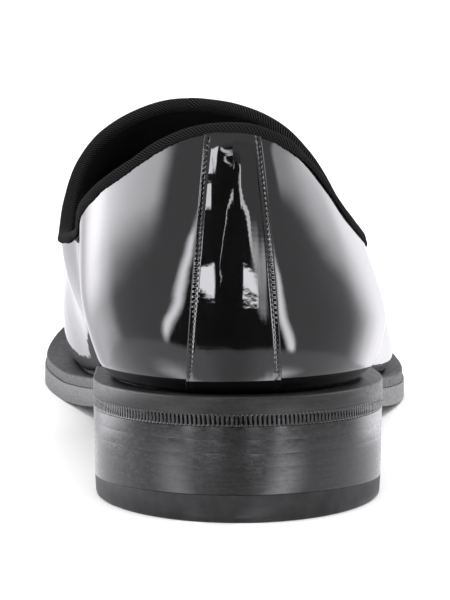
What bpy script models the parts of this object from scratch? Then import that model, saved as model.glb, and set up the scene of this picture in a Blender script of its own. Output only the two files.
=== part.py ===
"""Slip-on dress loafer for the right foot, size about EU 42, at its real size.

X runs to the outer side of the foot, Y to the toe and Z up. Sizes are in millimetres
until a mesh is made. The upper is a wall of ribs: each rib starts on the feather line,
where the upper meets the sole, swells to its widest and bends over to the ridge of the
last. It is cut at the topline round the heel and at the throat of the vamp.
"""

import math
from collections import namedtuple

import bmesh
import bpy
import numpy as np
from mathutils import Vector

MM = 0.001
GAP = 0.3

# Thicknesses.
WALL = 2.0
WELT_THICKNESS = 2.6
INSOLE_RISE = 1.6
BACKSTAY_THICKNESS = 0.8
BINDING_THICKNESS = 0.7
BINDING_REACH = 2.2

# Heel stack: heights at the back, which fall towards the toe.
TOP_LIFT_BACK = 6.5
TOP_LIFT_FALL = 0.055
RAND_HEIGHT = 2.2
SEAT_BACK = 24.9
SEAT_FALL = 0.036
SEAT_THICKNESS = 4.2
HEEL_BREAST_Y = 72.0
HEEL_BREAST_HOLLOW = 3.0
HEEL_TAPER = 0.6
WELT_START_Y = 74.0

# Plan outlines: the widest point of the heel, the waist and the ball on each side,
# the hindmost and foremost points, and the roundness of the toe on each side.
PlanRow = namedtuple("PlanRow", "inner_y inner_x outer_y outer_x")
Plan = namedtuple("Plan", "heel waist ball back tip inner_round outer_round")
SOLE_PLAN = Plan(
    heel=PlanRow(46.0, -31.4, 46.0, 37.5),
    waist=PlanRow(120.0, -32.3, 100.0, 33.0),
    ball=PlanRow(231.0, -53.2, 203.0, 51.4),
    back=(3.0, 0.0),
    tip=(-9.0, 297.0),
    inner_round=2.1,
    outer_round=2.25,
)
FEATHER_PLAN = Plan(
    heel=PlanRow(46.0, -28.9, 46.0, 34.5),
    waist=PlanRow(116.0, -29.8, 98.0, 30.5),
    ball=PlanRow(228.0, -46.4, 201.0, 47.6),
    back=(1.9, 3.3),
    tip=(-9.0, 291.5),
    inner_round=2.1,
    outer_round=2.25,
)

# Side profile of the bottom: underside of the outsole and height of the feather line.
# Down to the heel breast both follow the heel seat, which falls towards the toe.
ProfileRow = namedtuple("ProfileRow", "y underside feather")
PROFILE = (
    ProfileRow(0.0, SEAT_BACK, SEAT_BACK + SEAT_THICKNESS),
    ProfileRow(60.0, SEAT_BACK - 60.0 * SEAT_FALL, SEAT_BACK + SEAT_THICKNESS - 60.0 * SEAT_FALL),
    ProfileRow(72.0, SEAT_BACK - 72.0 * SEAT_FALL, SEAT_BACK + SEAT_THICKNESS - 72.0 * SEAT_FALL),
    ProfileRow(88.0, 19.0, 24.4),
    ProfileRow(110.0, 12.8, 19.6),
    ProfileRow(130.0, 7.6, 15.2),
    ProfileRow(150.0, 3.9, 12.0),
    ProfileRow(172.0, 1.2, 9.6),
    ProfileRow(190.0, 0.0, 8.4),
    ProfileRow(216.0, 0.0, 8.4),
    ProfileRow(234.0, 0.9, 9.3),
    ProfileRow(258.0, 4.1, 12.5),
    ProfileRow(297.0, 12.5, 20.9),
)

# Ridge of the last, from above the heel to above the toes.
RidgeRow = namedtuple("RidgeRow", "y x z")
RIDGE = (
    RidgeRow(45.0, -1.0, 115.0),
    RidgeRow(80.0, -4.5, 110.0),
    RidgeRow(105.0, -7.0, 101.5),
    RidgeRow(130.0, -9.2, 88.0),
    RidgeRow(150.0, -10.0, 77.6),
    RidgeRow(172.0, -9.5, 67.0),
    RidgeRow(200.0, -8.5, 55.8),
    RidgeRow(228.0, -8.5, 48.4),
    RidgeRow(258.0, -9.0, 45.4),
)

# Where ribs that leave the ridge reach the feather line on each side.
FanRow = namedtuple("FanRow", "ridge_y inner_y outer_y")
FAN = (
    FanRow(45.0, 46.0, 46.0),
    FanRow(130.0, 137.0, 135.0),
    FanRow(258.0, 262.0, 258.0),
)
HEEL_PIVOT_Y = 45.0
THROAT_Y = 130.0
TOE_PIVOT_Y = 258.0

# Ribs by side: swell beyond the feather line, height of the widest point and fullness of
# the shoulder above it.
RibRow = namedtuple("RibRow", "y swell widest full")
INNER_RIBS = (
    RibRow(3.3, 1.6, 47.0, 2.9),
    RibRow(6.0, 2.0, 47.5, 2.7),
    RibRow(11.0, 3.2, 48.0, 2.5),
    RibRow(18.0, 4.6, 49.0, 2.3),
    RibRow(29.0, 5.6, 50.0, 2.3),
    RibRow(42.0, 5.7, 51.0, 2.6),
    RibRow(58.0, 6.2, 57.0, 2.8),
    RibRow(76.0, 7.4, 59.0, 2.8),
    RibRow(92.0, 10.8, 58.0, 2.8),
    RibRow(106.0, 12.9, 55.0, 2.9),
    RibRow(117.0, 12.6, 51.0, 2.7),
    RibRow(127.0, 11.2, 47.0, 2.4),
    RibRow(137.0, 10.2, 43.0, 2.05),
    RibRow(165.0, 6.4, 36.0, 2.0),
    RibRow(200.0, 2.6, 27.0, 2.1),
    RibRow(228.0, 0.8, 20.0, 2.1),
    RibRow(262.0, 0.8, 23.0, 2.3),
    RibRow(291.5, 0.8, 29.0, 2.4),
)
OUTER_RIBS = (
    RibRow(3.3, 1.6, 47.0, 2.9),
    RibRow(6.0, 1.9, 46.5, 2.6),
    RibRow(11.0, 2.4, 45.0, 1.8),
    RibRow(18.0, 2.9, 44.0, 1.5),
    RibRow(29.0, 3.3, 43.0, 1.29),
    RibRow(42.0, 3.8, 42.0, 1.24),
    RibRow(58.0, 4.6, 41.0, 1.26),
    RibRow(76.0, 6.4, 40.0, 1.34),
    RibRow(92.0, 7.2, 38.0, 1.38),
    RibRow(106.0, 6.6, 35.0, 1.47),
    RibRow(117.0, 5.4, 31.0, 1.64),
    RibRow(127.0, 4.2, 28.0, 1.81),
    RibRow(135.0, 3.6, 26.0, 1.9),
    RibRow(165.0, 1.5, 21.0, 1.7),
    RibRow(201.0, 0.5, 14.0, 1.65),
    RibRow(258.0, 0.8, 22.0, 2.2),
    RibRow(291.5, 0.8, 29.0, 2.4),
)

# Height of the topline over the feather line's y, from behind the heel to the throat.
TopRow = namedtuple("TopRow", "y z")
INNER_TOPLINE = (
    TopRow(3.3, 89.2),
    TopRow(6.0, 87.8),
    TopRow(11.0, 84.5),
    TopRow(18.0, 79.6),
    TopRow(29.0, 73.5),
    TopRow(42.0, 67.6),
    TopRow(58.0, 62.9),
    TopRow(76.0, 58.8),
    TopRow(92.0, 55.6),
    TopRow(106.0, 54.2),
    TopRow(117.0, 60.6),
    TopRow(127.0, 74.0),
    TopRow(137.0, 88.0),
)
OUTER_TOPLINE = (
    TopRow(3.3, 89.2),
    TopRow(6.0, 86.4),
    TopRow(11.0, 81.9),
    TopRow(18.0, 76.2),
    TopRow(29.0, 67.9),
    TopRow(42.0, 62.2),
    TopRow(58.0, 58.8),
    TopRow(76.0, 56.4),
    TopRow(92.0, 54.2),
    TopRow(106.0, 55.0),
    TopRow(117.0, 67.2),
    TopRow(127.0, 81.6),
    TopRow(135.0, 88.2),
)

# Backstay: half widths at its foot and at its head.
BACKSTAY_FOOT = 11.2
BACKSTAY_HEAD = 6.6

# Numbers of ribs in each stretch of one side, and of steps up a rib.
HEEL_RIBS = 10
QUARTER_RIBS = 22
VAMP_RIBS = 12
TOE_RIBS = 8
RIB_STEPS = 10
RIB_SAMPLES = 48
PLAN_STEPS = 36

Paint = namedtuple("Paint", "color roughness metallic")
PAINTS = {
    "patent_leather": Paint((0.008, 0.008, 0.009), 0.04, 0.0),
    "ribbon": Paint((0.012, 0.012, 0.013), 0.85, 0.0),
    "sole_leather": Paint((0.02, 0.02, 0.021), 0.45, 0.0),
    "heel_leather": Paint((0.03, 0.03, 0.031), 0.4, 0.0),
    "rubber": Paint((0.028, 0.028, 0.029), 0.6, 0.0),
    "lining": Paint((0.006, 0.006, 0.006), 0.8, 0.0),
}


def curve(rows, column, y):
    """Value of a table's column at y, on a smooth curve with no overshoot between rows."""
    ys = [row[0] for row in rows]
    values = [getattr(row, column) for row in rows]
    if y <= ys[0]:
        return values[0]
    if y >= ys[-1]:
        return values[-1]
    i = max(k for k in range(len(ys) - 1) if ys[k] <= y)
    steps = [b - a for a, b in zip(ys, ys[1:])]
    slopes = [(b - a) / h for a, b, h in zip(values, values[1:], steps)]

    def tangent(k):
        if k == 0 or k == len(ys) - 1:
            return slopes[min(k, len(slopes) - 1)]
        before, after = slopes[k - 1], slopes[k]
        if before * after <= 0:
            return 0.0
        h0, h1 = steps[k - 1], steps[k]
        w0, w1 = 2 * h1 + h0, h1 + 2 * h0
        return (w0 + w1) / (w0 / before + w1 / after)

    h = steps[i]
    s = (y - ys[i]) / h
    return (
        (1 + 2 * s) * (1 - s) ** 2 * values[i]
        + s * (1 - s) ** 2 * h * tangent(i)
        + s * s * (3 - 2 * s) * values[i + 1]
        + s * s * (s - 1) * h * tangent(i + 1)
    )


def ease(s):
    return s * s * (3 - 2 * s)


def plan_x(plan, side, y):
    """X of a plan outline at y, on the inner or the outer side."""
    near = {"inner": 0, "outer": 2}[side]
    (heel_y, heel_x), (waist_y, waist_x), (ball_y, ball_x) = (
        row[near : near + 2] for row in (plan.heel, plan.waist, plan.ball)
    )
    back_x, back_y = plan.back
    tip_x, tip_y = plan.tip
    if y <= heel_y:
        s = min(1.0, (heel_y - y) / (heel_y - back_y))
        return back_x + (heel_x - back_x) * math.sqrt(1 - s * s)
    if y <= waist_y:
        return heel_x + (waist_x - heel_x) * ease((y - heel_y) / (waist_y - heel_y))
    if y <= ball_y:
        return waist_x + (ball_x - waist_x) * ease((y - waist_y) / (ball_y - waist_y))
    roundness = plan.inner_round if side == "inner" else plan.outer_round
    s = min(1.0, (y - ball_y) / (tip_y - ball_y))
    return tip_x + (ball_x - tip_x) * (1 - s**roundness) ** (1 / roundness)


def inset_plan(plan, by):
    """The outline drawn in by a distance on every side."""
    rows = [
        PlanRow(r.inner_y, r.inner_x + by, r.outer_y, r.outer_x - by)
        for r in (plan.heel, plan.waist, plan.ball)
    ]
    (back_x, back_y), (tip_x, tip_y) = plan.back, plan.tip
    return plan._replace(
        heel=rows[0],
        waist=rows[1],
        ball=rows[2],
        back=(back_x, back_y + by),
        tip=(tip_x, tip_y - by),
    )


def stations(start, end, count, round_start=True, round_end=True):
    """Y values from start to end, crowded towards the ends that are round."""
    span = math.pi * (1 if round_start and round_end else 0.5)
    found = []
    for k in range(count + 1):
        a = span * k / count
        if round_start and round_end:
            share = (1 - math.cos(a)) / 2
        elif round_start:
            share = 1 - math.cos(a)
        else:
            share = math.sin(a)
        found.append(start + (end - start) * share)
    return found


def underside_z(y):
    return curve(PROFILE, "underside", y)


def feather_z(y):
    return curve(PROFILE, "feather", y)


def welt_height(y):
    """Thickness of the welt, skived down to a thin end beside the heel breast."""
    s = min(1.0, max(0.0, (y - WELT_START_Y) / 30))
    return 0.5 + (WELT_THICKNESS - 0.5) * ease(s)


def outsole_top_z(y):
    """Top of the outsole: under the upper at the heel, and under the welt in front."""
    s = min(1.0, max(0.0, (y - WELT_START_Y + 4) / 3.5))
    return feather_z(y) - GAP - ease(s) * (welt_height(max(y, WELT_START_Y)) + GAP)


# Ribs of the upper.


def rib(side, y, ridge_y):
    """Points up the outside of a rib, from the feather line to its cut or the ridge."""
    rows = INNER_RIBS if side == "inner" else OUTER_RIBS
    topline = INNER_TOPLINE if side == "inner" else OUTER_TOPLINE
    swell, widest, full = (curve(rows, column, y) for column in RibRow._fields[1:])
    foot_x, foot_z = plan_x(FEATHER_PLAN, side, y), feather_z(y)
    crest_x, crest_z = curve(RIDGE, "x", ridge_y), curve(RIDGE, "z", ridge_y)
    run = math.hypot(crest_x - foot_x, ridge_y - y)
    straight = ridge_y in (HEEL_PIVOT_Y, TOE_PIVOT_Y)

    def place(along, z):
        share = along / run
        turn = share if straight else math.sin(share * math.pi / 2)
        return foot_x + (crest_x - foot_x) * share, y + (ridge_y - y) * turn, z

    points = []
    for k in range(RIB_SAMPLES + 1):
        s = k / RIB_SAMPLES
        z = foot_z + (widest - foot_z) * s
        points.append(place(-swell * math.sin(s * math.pi / 2), z))
    for k in range(1, RIB_SAMPLES + 1):
        a = math.pi / 2 * k / RIB_SAMPLES
        along = (run + swell) * (1 - max(0.0, math.cos(a)) ** (2 / full)) - swell
        z = widest + (crest_z - widest) * math.sin(a) ** (2 / full)
        points.append(place(along, z))
    whole = ridge_y >= THROAT_Y
    return np.array(points) if whole else cut_at(np.array(points), curve(topline, "z", y))


def cut_at(points, z):
    """The part of a rising line of points below a height."""
    above = np.nonzero(points[:, 2] >= z)[0]
    if not len(above) or above[0] == 0:
        return points
    k = above[0]
    share = (z - points[k - 1, 2]) / (points[k, 2] - points[k - 1, 2])
    end = points[k - 1] + (points[k] - points[k - 1]) * share
    return np.vstack([points[:k], end])


def lengths(points):
    steps = np.linalg.norm(np.diff(points, axis=0), axis=1)
    return np.concatenate([[0.0], np.cumsum(steps)])


def at_lengths(points, wanted):
    """Points of a line at the wanted distances from its start."""
    run = lengths(points)
    return np.stack([np.interp(wanted, run, points[:, k]) for k in range(3)], axis=1)


def even(points, steps):
    return at_lengths(points, np.linspace(0.0, lengths(points)[-1], steps + 1))


def rib_places(side):
    """(foot y, ridge y) of each rib of one side, from behind the heel to the toe tip."""
    column = "inner_y" if side == "inner" else "outer_y"
    back_y, tip_y = FEATHER_PLAN.back[1], FEATHER_PLAN.tip[1]
    heel_y = curve(FAN, column, HEEL_PIVOT_Y)
    toe_y = curve(FAN, column, TOE_PIVOT_Y)
    places = [(y, HEEL_PIVOT_Y) for y in stations(back_y, heel_y, HEEL_RIBS, True, False)]
    for y in stations(HEEL_PIVOT_Y, THROAT_Y, QUARTER_RIBS, False, True)[1:]:
        places.append((curve(FAN, column, y), y))
    for k in range(1, VAMP_RIBS + 1):
        y = THROAT_Y + (TOE_PIVOT_Y - THROAT_Y) * k / VAMP_RIBS
        places.append((curve(FAN, column, y), y))
    places += [(y, TOE_PIVOT_Y) for y in stations(toe_y, tip_y, TOE_RIBS, False, True)[1:]]
    return places


def upper_ribs():
    """Every rib round the shoe: up the inner side to the toe and back down the outer side."""
    inner = [rib("inner", *place) for place in rib_places("inner")]
    outer = [rib("outer", *place) for place in rib_places("outer")]
    return inner + outer[-2:0:-1]


def rings_of(ribs):
    """The ribs read crosswise, as closed rings from the feather line to the top."""
    grid = np.array([even(points, RIB_STEPS) for points in ribs])
    return [grid[:, k] for k in range(RIB_STEPS + 1)]


# Meshes.


def loft(bm, rings, closed=True, wrap=False):
    """Faces between rings of as many points each. Returns the vertices of every ring."""
    made = [[bm.verts.new(Vector(p) * MM) for p in ring] for ring in rings]
    pairs = list(zip(made, made[1:]))
    if wrap:
        pairs.append((made[-1], made[0]))
    for low, high in pairs:
        count = len(low)
        for i in range(count if closed else count - 1):
            j = (i + 1) % count
            bm.faces.new((low[i], high[i], high[j], low[j]))
    return made


def cap(bm, ring, round_end):
    """Faces across a plate, between the points that face each other on its two sides."""
    count = len(ring)
    half = count // 2 if round_end else (count - 1) // 2
    for k in range(half):
        corners = [ring[k], ring[k + 1], ring[-k - 1], ring[-k] if k else ring[0]]
        bm.faces.new(list(dict.fromkeys(corners)))


def material(name):
    found = bpy.data.materials.get(name)
    if found:
        return found
    paint = PAINTS[name]
    made = bpy.data.materials.new(name)
    made.use_nodes = True
    shader = made.node_tree.nodes["Principled BSDF"]
    shader.inputs["Base Color"].default_value = (*paint.color, 1.0)
    shader.inputs["Roughness"].default_value = paint.roughness
    shader.inputs["Metallic"].default_value = paint.metallic
    return made


def finish(bm, name, paint, closed=True):
    """A mesh as a named object. The faces of a closed one are turned to point out."""
    bmesh.ops.remove_doubles(bm, verts=bm.verts[:], dist=1e-6)
    if closed:
        bmesh.ops.recalc_face_normals(bm, faces=bm.faces[:])
    mesh = bpy.data.meshes.new(name)
    bm.to_mesh(mesh)
    bm.free()
    mesh.shade_smooth()
    mesh.set_sharp_from_angle(angle=math.radians(40))
    mesh.materials.append(material(paint))
    made = bpy.data.objects.new(name, mesh)
    bpy.context.scene.collection.objects.link(made)
    return made


def plan_ring(plan, ys, height):
    """Points round an outline at the given stations, inner side first."""
    inner = [(plan_x(plan, "inner", y), y, height(y)) for y in ys]
    outer = [(plan_x(plan, "outer", y), y, height(y)) for y in ys]
    return inner + outer[-2:0:-1]


def plate(name, paint, layers):
    """A plate from heel to toe through layers of (outline, height function)."""
    bm = bmesh.new()
    rings = []
    for plan, height in layers:
        ys = stations(plan.back[1], plan.tip[1], PLAN_STEPS)
        rings.append(plan_ring(plan, ys, height))
    made = loft(bm, rings)
    cap(bm, made[0], True)
    cap(bm, made[-1], True)
    return finish(bm, name, paint)


def make_outsole():
    edge = 0.7
    layers = [
        (inset_plan(SOLE_PLAN, edge), underside_z),
        (SOLE_PLAN, lambda y: underside_z(y) + edge),
        (SOLE_PLAN, lambda y: outsole_top_z(y) - edge),
        (inset_plan(SOLE_PLAN, edge), outsole_top_z),
    ]
    return plate("outsole", "sole_leather", layers)


def make_insole():
    plan = inset_plan(FEATHER_PLAN, WALL + 0.6)
    layers = [
        (plan, lambda y: outsole_top_z(y) + GAP),
        (plan, lambda y: feather_z(y) + INSOLE_RISE),
    ]
    return plate("insole", "lining", layers)


def make_welt():
    """Strip under the upper's edge, from one side of the heel breast round the toe to the other."""
    outside = inset_plan(SOLE_PLAN, 0.5)
    inside = inset_plan(FEATHER_PLAN, WALL + 0.2)
    round_edge = 0.6
    corners = [
        (inside, 0.0, 0.0),
        (outside, 0.0, 0.0),
        (outside, 0.0, -round_edge),
        (inset_plan(outside, round_edge), 0.0, 1.0),
        (inside, 0.0, 1.0),
    ]
    rings = []
    for plan, _, level in corners:
        ys = stations(WELT_START_Y, plan.tip[1], PLAN_STEPS, False, True)

        def height(y, level=level):
            base = outsole_top_z(y) + GAP
            return base + (welt_height(y) * level if level >= 0 else welt_height(y) + level)

        inner = [(plan_x(plan, "inner", y), y, height(y)) for y in ys]
        outer = [(plan_x(plan, "outer", y), y, height(y)) for y in ys]
        rings.append(inner + outer[-2::-1])
    bm = bmesh.new()
    made = loft(bm, rings, closed=False, wrap=True)
    for end in (0, -1):
        bm.faces.new([ring[end] for ring in made])
    return finish(bm, "welt", "sole_leather")


def heel_ring(by, height, fall):
    """Outline of the heel at a height that falls forwards, hollowed at the breast."""
    plan = inset_plan(SOLE_PLAN, by)
    ys = stations(plan.back[1], HEEL_BREAST_Y, HEEL_RIBS + 4, True, False)
    inner = [(plan_x(plan, "inner", y), y) for y in ys]
    outer = [(plan_x(plan, "outer", y), y) for y in ys]
    start, end = inner[-1][0], outer[-1][0]
    breast = []
    for k in range(1, 6):
        s = k / 6
        hollow = HEEL_BREAST_HOLLOW * math.sin(math.pi * s)
        breast.append((start + (end - start) * s, HEEL_BREAST_Y - hollow))
    ring = inner + breast + outer[:0:-1]
    return [(x, y, height - fall * y) for x, y in ring]


def heel_piece(name, paint, levels):
    """A lift of the heel through levels of (inset, height behind, fall)."""
    bm = bmesh.new()
    made = loft(bm, [heel_ring(*level) for level in levels])
    bm.faces.new(made[0])
    bm.faces.new(made[-1])
    return finish(bm, name, paint)


def make_heel():
    bevel = 0.5
    rand_top = SEAT_BACK - GAP
    block_top = rand_top - RAND_HEIGHT - GAP
    lift = (0.4, TOP_LIFT_BACK, TOP_LIFT_FALL)
    heel_piece(
        "top_lift",
        "rubber",
        [(HEEL_TAPER + bevel, 0.0, 0.0), (HEEL_TAPER, bevel, 0.0), lift],
    )
    heel_piece(
        "heel_block",
        "heel_leather",
        [(0.4, TOP_LIFT_BACK + GAP, TOP_LIFT_FALL), (0.1, block_top, SEAT_FALL)],
    )
    heel_piece(
        "heel_rand",
        "heel_leather",
        [(0.2, block_top + GAP, SEAT_FALL), (0.2, rand_top, SEAT_FALL)],
    )


def make_upper():
    bm = bmesh.new()
    loft(bm, rings_of(upper_ribs()))
    made = finish(bm, "upper", "patent_leather", closed=False)
    wall = made.modifiers.new("wall", "SOLIDIFY")
    wall.thickness = WALL * MM
    wall.offset = -1.0
    return made


def topline_frames(upper):
    """(edge point, outward normal, upward direction) round the topline of the upper."""
    normals = {place_key(v.co / MM): v.normal for v in upper.data.vertices}
    count = HEEL_RIBS + QUARTER_RIBS + 1
    inner = [rib("inner", *place)[-1] for place in rib_places("inner")[:count]]
    outer = [rib("outer", *place)[-1] for place in rib_places("outer")[:count]]
    edge = [Vector(p) for p in outer[-2:0:-1] + inner]
    frames = []
    for before, point, after in zip(edge[-1:] + edge, edge, edge[1:] + edge[:1]):
        out = normals[place_key(point)]
        along = (after - before).normalized()
        frames.append((point, out, along.cross(out).normalized()))
    return frames


def place_key(point):
    return tuple(round(c, 2) for c in point)


def binding_section():
    """Folded ribbon in section as (out, up), round the top edge of a wall."""
    far = GAP + BINDING_THICKNESS
    crown = GAP + 0.8
    inside = -WALL
    flare = 0.15
    slack = 0.5
    return (
        (far + flare, -BINDING_REACH),
        (far, 0.2),
        (far - 0.4, crown - 0.35),
        (inside / 2, crown),
        (inside - far + 0.4, crown - 0.35),
        (inside - far, 0.2),
        (inside - far - slack, -BINDING_REACH),
        (inside - GAP - slack, -BINDING_REACH),
        (inside - GAP, GAP),
        (GAP, GAP),
        (GAP + flare, -BINDING_REACH),
    )


def make_binding(upper):
    """The ribbon follows the topline from the back up to the throat on both sides."""
    bm = bmesh.new()
    rings = []
    for edge, out, up in topline_frames(upper):
        rings.append([edge + out * a + up * b for a, b in binding_section()])
    loft(bm, rings, wrap=True)
    return finish(bm, "topline_binding", "ribbon")


def heel_rib(angle):
    """Rib of the heel whose foot lies at an angle round the heel's pivot, inner side below zero."""
    side = "inner" if angle < 0 else "outer"
    pivot = (curve(RIDGE, "x", HEEL_PIVOT_Y), HEEL_PIVOT_Y)
    low, high = FEATHER_PLAN.back[1], HEEL_PIVOT_Y
    for _ in range(40):
        y = (low + high) / 2
        found = math.atan2(plan_x(FEATHER_PLAN, side, y) - pivot[0], pivot[1] - y)
        if abs(found) < abs(angle) and found * angle >= 0 or found * angle < 0:
            low = y
        else:
            high = y
    return rib(side, (low + high) / 2, HEEL_PIVOT_Y)


def make_backstay():
    """Strip over the back seam, drawn on the ribs of the heel."""
    back = rib("inner", FEATHER_PLAN.back[1], HEEL_PIVOT_Y)
    pivot = np.array([curve(RIDGE, "x", HEEL_PIVOT_Y), HEEL_PIVOT_Y])
    middle = math.atan2(back[0, 0] - pivot[0], pivot[1] - back[0, 1])
    reach = float(np.linalg.norm(back[0, :2] - pivot))
    across, steps = 8, 10
    grid = []
    for k in range(steps + 1):
        share = 0.02 + (1 - 0.02) * k / steps
        half = BACKSTAY_FOOT + (BACKSTAY_HEAD - BACKSTAY_FOOT) * share
        row = []
        for i in range(across + 1):
            angle = middle + (2 * i / across - 1) * half / reach
            points = heel_rib(angle)
            whole = lengths(points)[-1] - BINDING_REACH - GAP - 0.2
            row.append(at_lengths(points, np.array([whole * share]))[0])
        grid.append(row)
    grid = np.array(grid)
    du = np.gradient(grid, axis=1)
    dv = np.gradient(grid, axis=0)
    out = np.cross(du, dv)
    out /= np.linalg.norm(out, axis=2, keepdims=True)
    bm = bmesh.new()
    near = loft(bm, grid + out * GAP, closed=False)
    far = loft(bm, grid + out * (GAP + BACKSTAY_THICKNESS), closed=False)

    def border(rows):
        side = [row[-1] for row in rows]
        other = [row[0] for row in rows]
        return rows[0][:-1] + side[:-1] + rows[-1][:0:-1] + other[:0:-1]

    low, high = border(near), border(far)
    for i in range(len(low)):
        j = (i + 1) % len(low)
        bm.faces.new((low[i], low[j], high[j], high[i]))
    return finish(bm, "backstay", "patent_leather")


def stand_at_origin():
    """Every mesh moved so that the shoe stands on z = 0, centred on the origin in plan."""
    parts = [o for o in bpy.context.scene.objects if o.type == "MESH"]
    corners = [v.co for o in parts for v in o.data.vertices]
    low = [min(c[k] for c in corners) for k in range(3)]
    high = [max(c[k] for c in corners) for k in range(3)]
    shift = Vector((-(low[0] + high[0]) / 2, -(low[1] + high[1]) / 2, -low[2]))
    for part in parts:
        for vertex in part.data.vertices:
            vertex.co += shift


for old in list(bpy.data.objects):
    bpy.data.objects.remove(old)
make_outsole()
make_welt()
make_heel()
make_insole()
make_binding(make_upper())
make_backstay()
stand_at_origin()
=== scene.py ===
"""Slip-on patent loafer for the right foot, dressed on its CAD frame.

X runs to the outer side of the foot, Y to the toe and Z up. Sizes are in millimetres, from the
hindmost point of the sole, until a mesh is made. Every sheet of a piece starts as a bmesh grid
whose crossings are moved onto the lines of the shoe, and each stitch as a small sphere.
"""

import math
from collections import namedtuple

import bmesh
import bpy
import numpy as np
from mathutils import Matrix, Vector, noise
from mathutils.bvhtree import BVHTree


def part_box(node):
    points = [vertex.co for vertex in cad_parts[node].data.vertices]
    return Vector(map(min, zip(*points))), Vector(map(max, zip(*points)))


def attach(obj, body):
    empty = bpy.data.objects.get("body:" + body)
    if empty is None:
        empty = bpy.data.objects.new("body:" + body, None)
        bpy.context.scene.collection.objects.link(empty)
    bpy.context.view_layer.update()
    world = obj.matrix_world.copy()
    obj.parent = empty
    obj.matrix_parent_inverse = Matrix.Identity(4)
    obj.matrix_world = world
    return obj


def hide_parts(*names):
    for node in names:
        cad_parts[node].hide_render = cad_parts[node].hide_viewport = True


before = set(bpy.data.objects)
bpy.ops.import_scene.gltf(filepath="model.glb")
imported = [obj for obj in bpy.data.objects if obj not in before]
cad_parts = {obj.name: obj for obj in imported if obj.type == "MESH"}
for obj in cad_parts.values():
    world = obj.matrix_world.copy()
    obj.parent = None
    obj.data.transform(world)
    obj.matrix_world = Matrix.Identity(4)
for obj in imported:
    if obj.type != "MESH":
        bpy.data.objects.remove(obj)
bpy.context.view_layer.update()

MM = 0.001

# Gaps between neighbouring solids of the CAD, between parts of the heel that are seen to touch,
# and between the welt and the outsole as they are seen.
GAP = 0.3
TOUCH = 0.04
WELT_SEAM = 0.04

# Points of a mesh that lie closer are merged, and shorter slivers are dissolved.
MERGE = 0.002
SLIVER = 0.006

# Thicknesses.
WALL = 2.0
WELT_THICKNESS = 2.6
INSOLE_RISE = 1.6
BACKSTAY_THICKNESS = 0.8
RAND_HEIGHT = 2.2

# Radii of the rounded edges.
OUTSOLE_LOW_EDGE = 0.12
OUTSOLE_TOP_EDGE = 0.45
INSOLE_EDGE = 0.8
WELT_EDGE = 0.7
LIFT_LOW_EDGE = 0.5
LIFT_TOP_EDGE = 0.25

# Heel stack: heights at the back, which fall towards the toe.
TOP_LIFT_BACK = 6.5
TOP_LIFT_FALL = 0.055
SEAT_BACK = 24.9
SEAT_FALL = 0.036
SEAT_THICKNESS = 4.2
HEEL_BREAST_Y = 72.0
HEEL_BREAST_HOLLOW = 3.0
HEEL_LIFTS = 5

# How far the heel stands in from the sole's edge: the top lift at its foot and its top, the stack of
# lifts, which spreads as it rises, and the rand.
HEEL_TAPER = 0.6
LIFT_INSET = 0.4
STACK_SPREAD = 0.3
STACK_TOP_INSET = 0.25
RAND_INSET = 0.08

# One leather lift of the stack: shares of its height and the depth of the groove there.
LIFT_GROOVES = ((0.0, 0.01), (0.03, 0.003), (0.06, 0.0), (0.94, 0.0), (0.97, 0.003))

# Welt: its start, its thin end and the stretch over which it thickens, the stretch over which the
# outsole steps down to it, and how far it stands in from the sole's edge and under the upper.
WELT_START_Y = 74.0
WELT_THIN = 0.5
WELT_SKIVE = 30.0
WELT_STEP_LEAD = 4.0
WELT_STEP = 3.5
WELT_INSET = 0.5
WELT_HOLD = WALL + 0.2
WELT_CHAMFER = 0.05
WELT_LEAST_RISE = 0.12
INSOLE_INSET = WALL + 0.6

# Plan outlines: the widest point of the heel, the waist and the ball on each side,
# the hindmost and foremost points, and the roundness of the toe on each side.
PlanRow = namedtuple("PlanRow", "inner_y inner_x outer_y outer_x")
Plan = namedtuple("Plan", "heel waist ball back tip inner_round outer_round")
SOLE_PLAN = Plan(
    heel=PlanRow(46.0, -31.4, 46.0, 37.5),
    waist=PlanRow(120.0, -32.3, 100.0, 33.0),
    ball=PlanRow(231.0, -53.2, 203.0, 51.4),
    back=(3.0, 0.0),
    tip=(-9.0, 297.0),
    inner_round=2.1,
    outer_round=2.25,
)
FEATHER_PLAN = Plan(
    heel=PlanRow(46.0, -28.9, 46.0, 34.5),
    waist=PlanRow(116.0, -29.8, 98.0, 30.5),
    ball=PlanRow(228.0, -46.4, 201.0, 47.6),
    back=(1.9, 3.3),
    tip=(-9.0, 291.5),
    inner_round=2.1,
    outer_round=2.25,
)

# Side profile of the bottom: underside of the outsole and height of the feather line.
ProfileRow = namedtuple("ProfileRow", "y underside feather")
PROFILE = (
    ProfileRow(0.0, SEAT_BACK, SEAT_BACK + SEAT_THICKNESS),
    ProfileRow(60.0, SEAT_BACK - 60.0 * SEAT_FALL, SEAT_BACK + SEAT_THICKNESS - 60.0 * SEAT_FALL),
    ProfileRow(72.0, SEAT_BACK - 72.0 * SEAT_FALL, SEAT_BACK + SEAT_THICKNESS - 72.0 * SEAT_FALL),
    ProfileRow(88.0, 19.0, 24.4),
    ProfileRow(110.0, 12.8, 19.6),
    ProfileRow(130.0, 7.6, 15.2),
    ProfileRow(150.0, 3.9, 12.0),
    ProfileRow(172.0, 1.2, 9.6),
    ProfileRow(190.0, 0.0, 8.4),
    ProfileRow(216.0, 0.0, 8.4),
    ProfileRow(234.0, 0.9, 9.3),
    ProfileRow(258.0, 4.1, 12.5),
    ProfileRow(297.0, 12.5, 20.9),
)

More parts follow.
